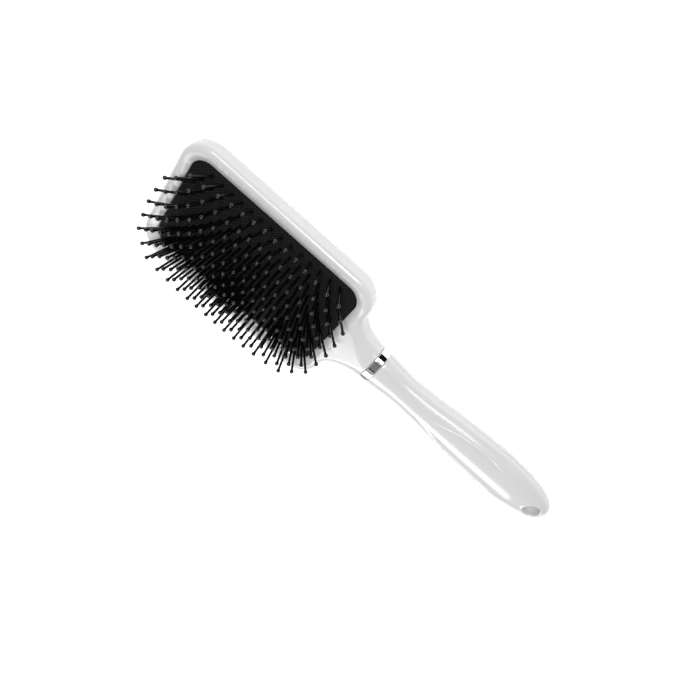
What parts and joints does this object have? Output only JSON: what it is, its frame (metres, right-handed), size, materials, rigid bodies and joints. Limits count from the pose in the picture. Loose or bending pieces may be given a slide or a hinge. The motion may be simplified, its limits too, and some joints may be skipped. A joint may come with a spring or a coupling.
{
  "type": "paddle hair brush",
  "caption": "Rectangular paddle hair brush with a domed air cushion of ball-tipped pins, a bright neck ring and a contoured handle with a hang hole.",
  "frame": {"origin": "middle of the overall length and width, at the flat of the back", "axes": "+X from the head to the end of the handle, +Z the way the pins point, +Y completes the right-handed set"},
  "size_m": [0.25, 0.077, 0.0359],
  "materials": {
    "white_gloss": "glossy moulded white with soft orange-peel",
    "retainer_plastic": "plain moulded",
    "cushion_rubber": "satin black rubber with a fine woven texture",
    "pin_nylon": "polished black nylon",
    "band_chrome": "mirror plated"
  },
  "bodies": {
    "paddle": {"paddle_frame": "white_gloss", "back_cover": "white_gloss", "cushion_retainer": "retainer_plastic", "neck_band": "band_chrome", "handle_front_shell": "white_gloss", "handle_back_shell": "white_gloss"},
    "cushion": {"cushion_membrane": "cushion_rubber"},
    "pin_row_01": {"pin_row_01": "pin_nylon"},
    "pin_row_02": {"pin_row_02": "pin_nylon"},
    "pin_row_03": {"pin_row_03": "pin_nylon"},
    "pin_row_04": {"pin_row_04": "pin_nylon"},
    "pin_row_05": {"pin_row_05": "pin_nylon"},
    "pin_row_06": {"pin_row_06": "pin_nylon"},
    "pin_row_07": {"pin_row_07": "pin_nylon"},
    "pin_row_08": {"pin_row_08": "pin_nylon"},
    "pin_row_09": {"pin_row_09": "pin_nylon"},
    "pin_row_10": {"pin_row_10": "pin_nylon"},
    "pin_row_11": {"pin_row_11": "pin_nylon"},
    "pin_row_12": {"pin_row_12": "pin_nylon"},
    "pin_row_13": {"pin_row_13": "pin_nylon"}
  },
  "joints": [
    {"name": "cushion_press", "type": "slide", "parent": "paddle", "child": "cushion", "axis": [0, 0, 1], "range_m": [-0.0025, 0], "stiffness_N_per_m": 3000, "deforming": ["cushion_membrane"]},
    {"name": "pin_row_01_rock", "type": "hinge", "parent": "cushion", "child": "pin_row_01", "pos_m": [-0.0685, 0.02628, 0.0134], "axis": [1, 0, 0], "range_deg": [-10, 10], "stiffness_Nm_per_rad": 0.05},
    {"name": "pin_row_02_rock", "type": "hinge", "parent": "cushion", "child": "pin_row_02", "pos_m": [-0.0685, 0.0219, 0.01502], "axis": [1, 0, 0], "range_deg": [-10, 10], "stiffness_Nm_per_rad": 0.05},
    {"name": "pin_row_03_rock", "type": "hinge", "parent": "cushion", "child": "pin_row_03", "pos_m": [-0.0685, 0.01752, 0.01644], "axis": [1, 0, 0], "range_deg": [-10, 10], "stiffness_Nm_per_rad": 0.05},
    {"name": "pin_row_04_rock", "type": "hinge", "parent": "cushion", "child": "pin_row_04", "pos_m": [-0.0685, 0.01314, 0.01762], "axis": [1, 0, 0], "range_deg": [-10, 10], "stiffness_Nm_per_rad": 0.05},
    {"name": "pin_row_05_rock", "type": "hinge", "parent": "cushion", "child": "pin_row_05", "pos_m": [-0.0685, 0.00876, 0.01856], "axis": [1, 0, 0], "range_deg": [-10, 10], "stiffness_Nm_per_rad": 0.05},
    {"name": "pin_row_06_rock", "type": "hinge", "parent": "cushion", "child": "pin_row_06", "pos_m": [-0.0685, 0.00438, 0.01921], "axis": [1, 0, 0], "range_deg": [-10, 10], "stiffness_Nm_per_rad": 0.05},
    {"name": "pin_row_07_rock", "type": "hinge", "parent": "cushion", "child": "pin_row_07", "pos_m": [-0.0685, 0, 0.0195], "axis": [1, 0, 0], "range_deg": [-10, 10], "stiffness_Nm_per_rad": 0.05},
    {"name": "pin_row_08_rock", "type": "hinge", "parent": "cushion", "child": "pin_row_08", "pos_m": [-0.0685, -0.00438, 0.01921], "axis": [1, 0, 0], "range_deg": [-10, 10], "stiffness_Nm_per_rad": 0.05},
    {"name": "pin_row_09_rock", "type": "hinge", "parent": "cushion", "child": "pin_row_09", "pos_m": [-0.0685, -0.00876, 0.01856], "axis": [1, 0, 0], "range_deg": [-10, 10], "stiffness_Nm_per_rad": 0.05},
    {"name": "pin_row_10_rock", "type": "hinge", "parent": "cushion", "child": "pin_row_10", "pos_m": [-0.0685, -0.01314, 0.01762], "axis": [1, 0, 0], "range_deg": [-10, 10], "stiffness_Nm_per_rad": 0.05},
    {"name": "pin_row_11_rock", "type": "hinge", "parent": "cushion", "child": "pin_row_11", "pos_m": [-0.0685, -0.01752, 0.01644], "axis": [1, 0, 0], "range_deg": [-10, 10], "stiffness_Nm_per_rad": 0.05},
    {"name": "pin_row_12_rock", "type": "hinge", "parent": "cushion", "child": "pin_row_12", "pos_m": [-0.0685, -0.0219, 0.01502], "axis": [1, 0, 0], "range_deg": [-10, 10], "stiffness_Nm_per_rad": 0.05},
    {"name": "pin_row_13_rock", "type": "hinge", "parent": "cushion", "child": "pin_row_13", "pos_m": [-0.0685, -0.02628, 0.0134], "axis": [1, 0, 0], "range_deg": [-10, 10], "stiffness_Nm_per_rad": 0.05}
  ]
}
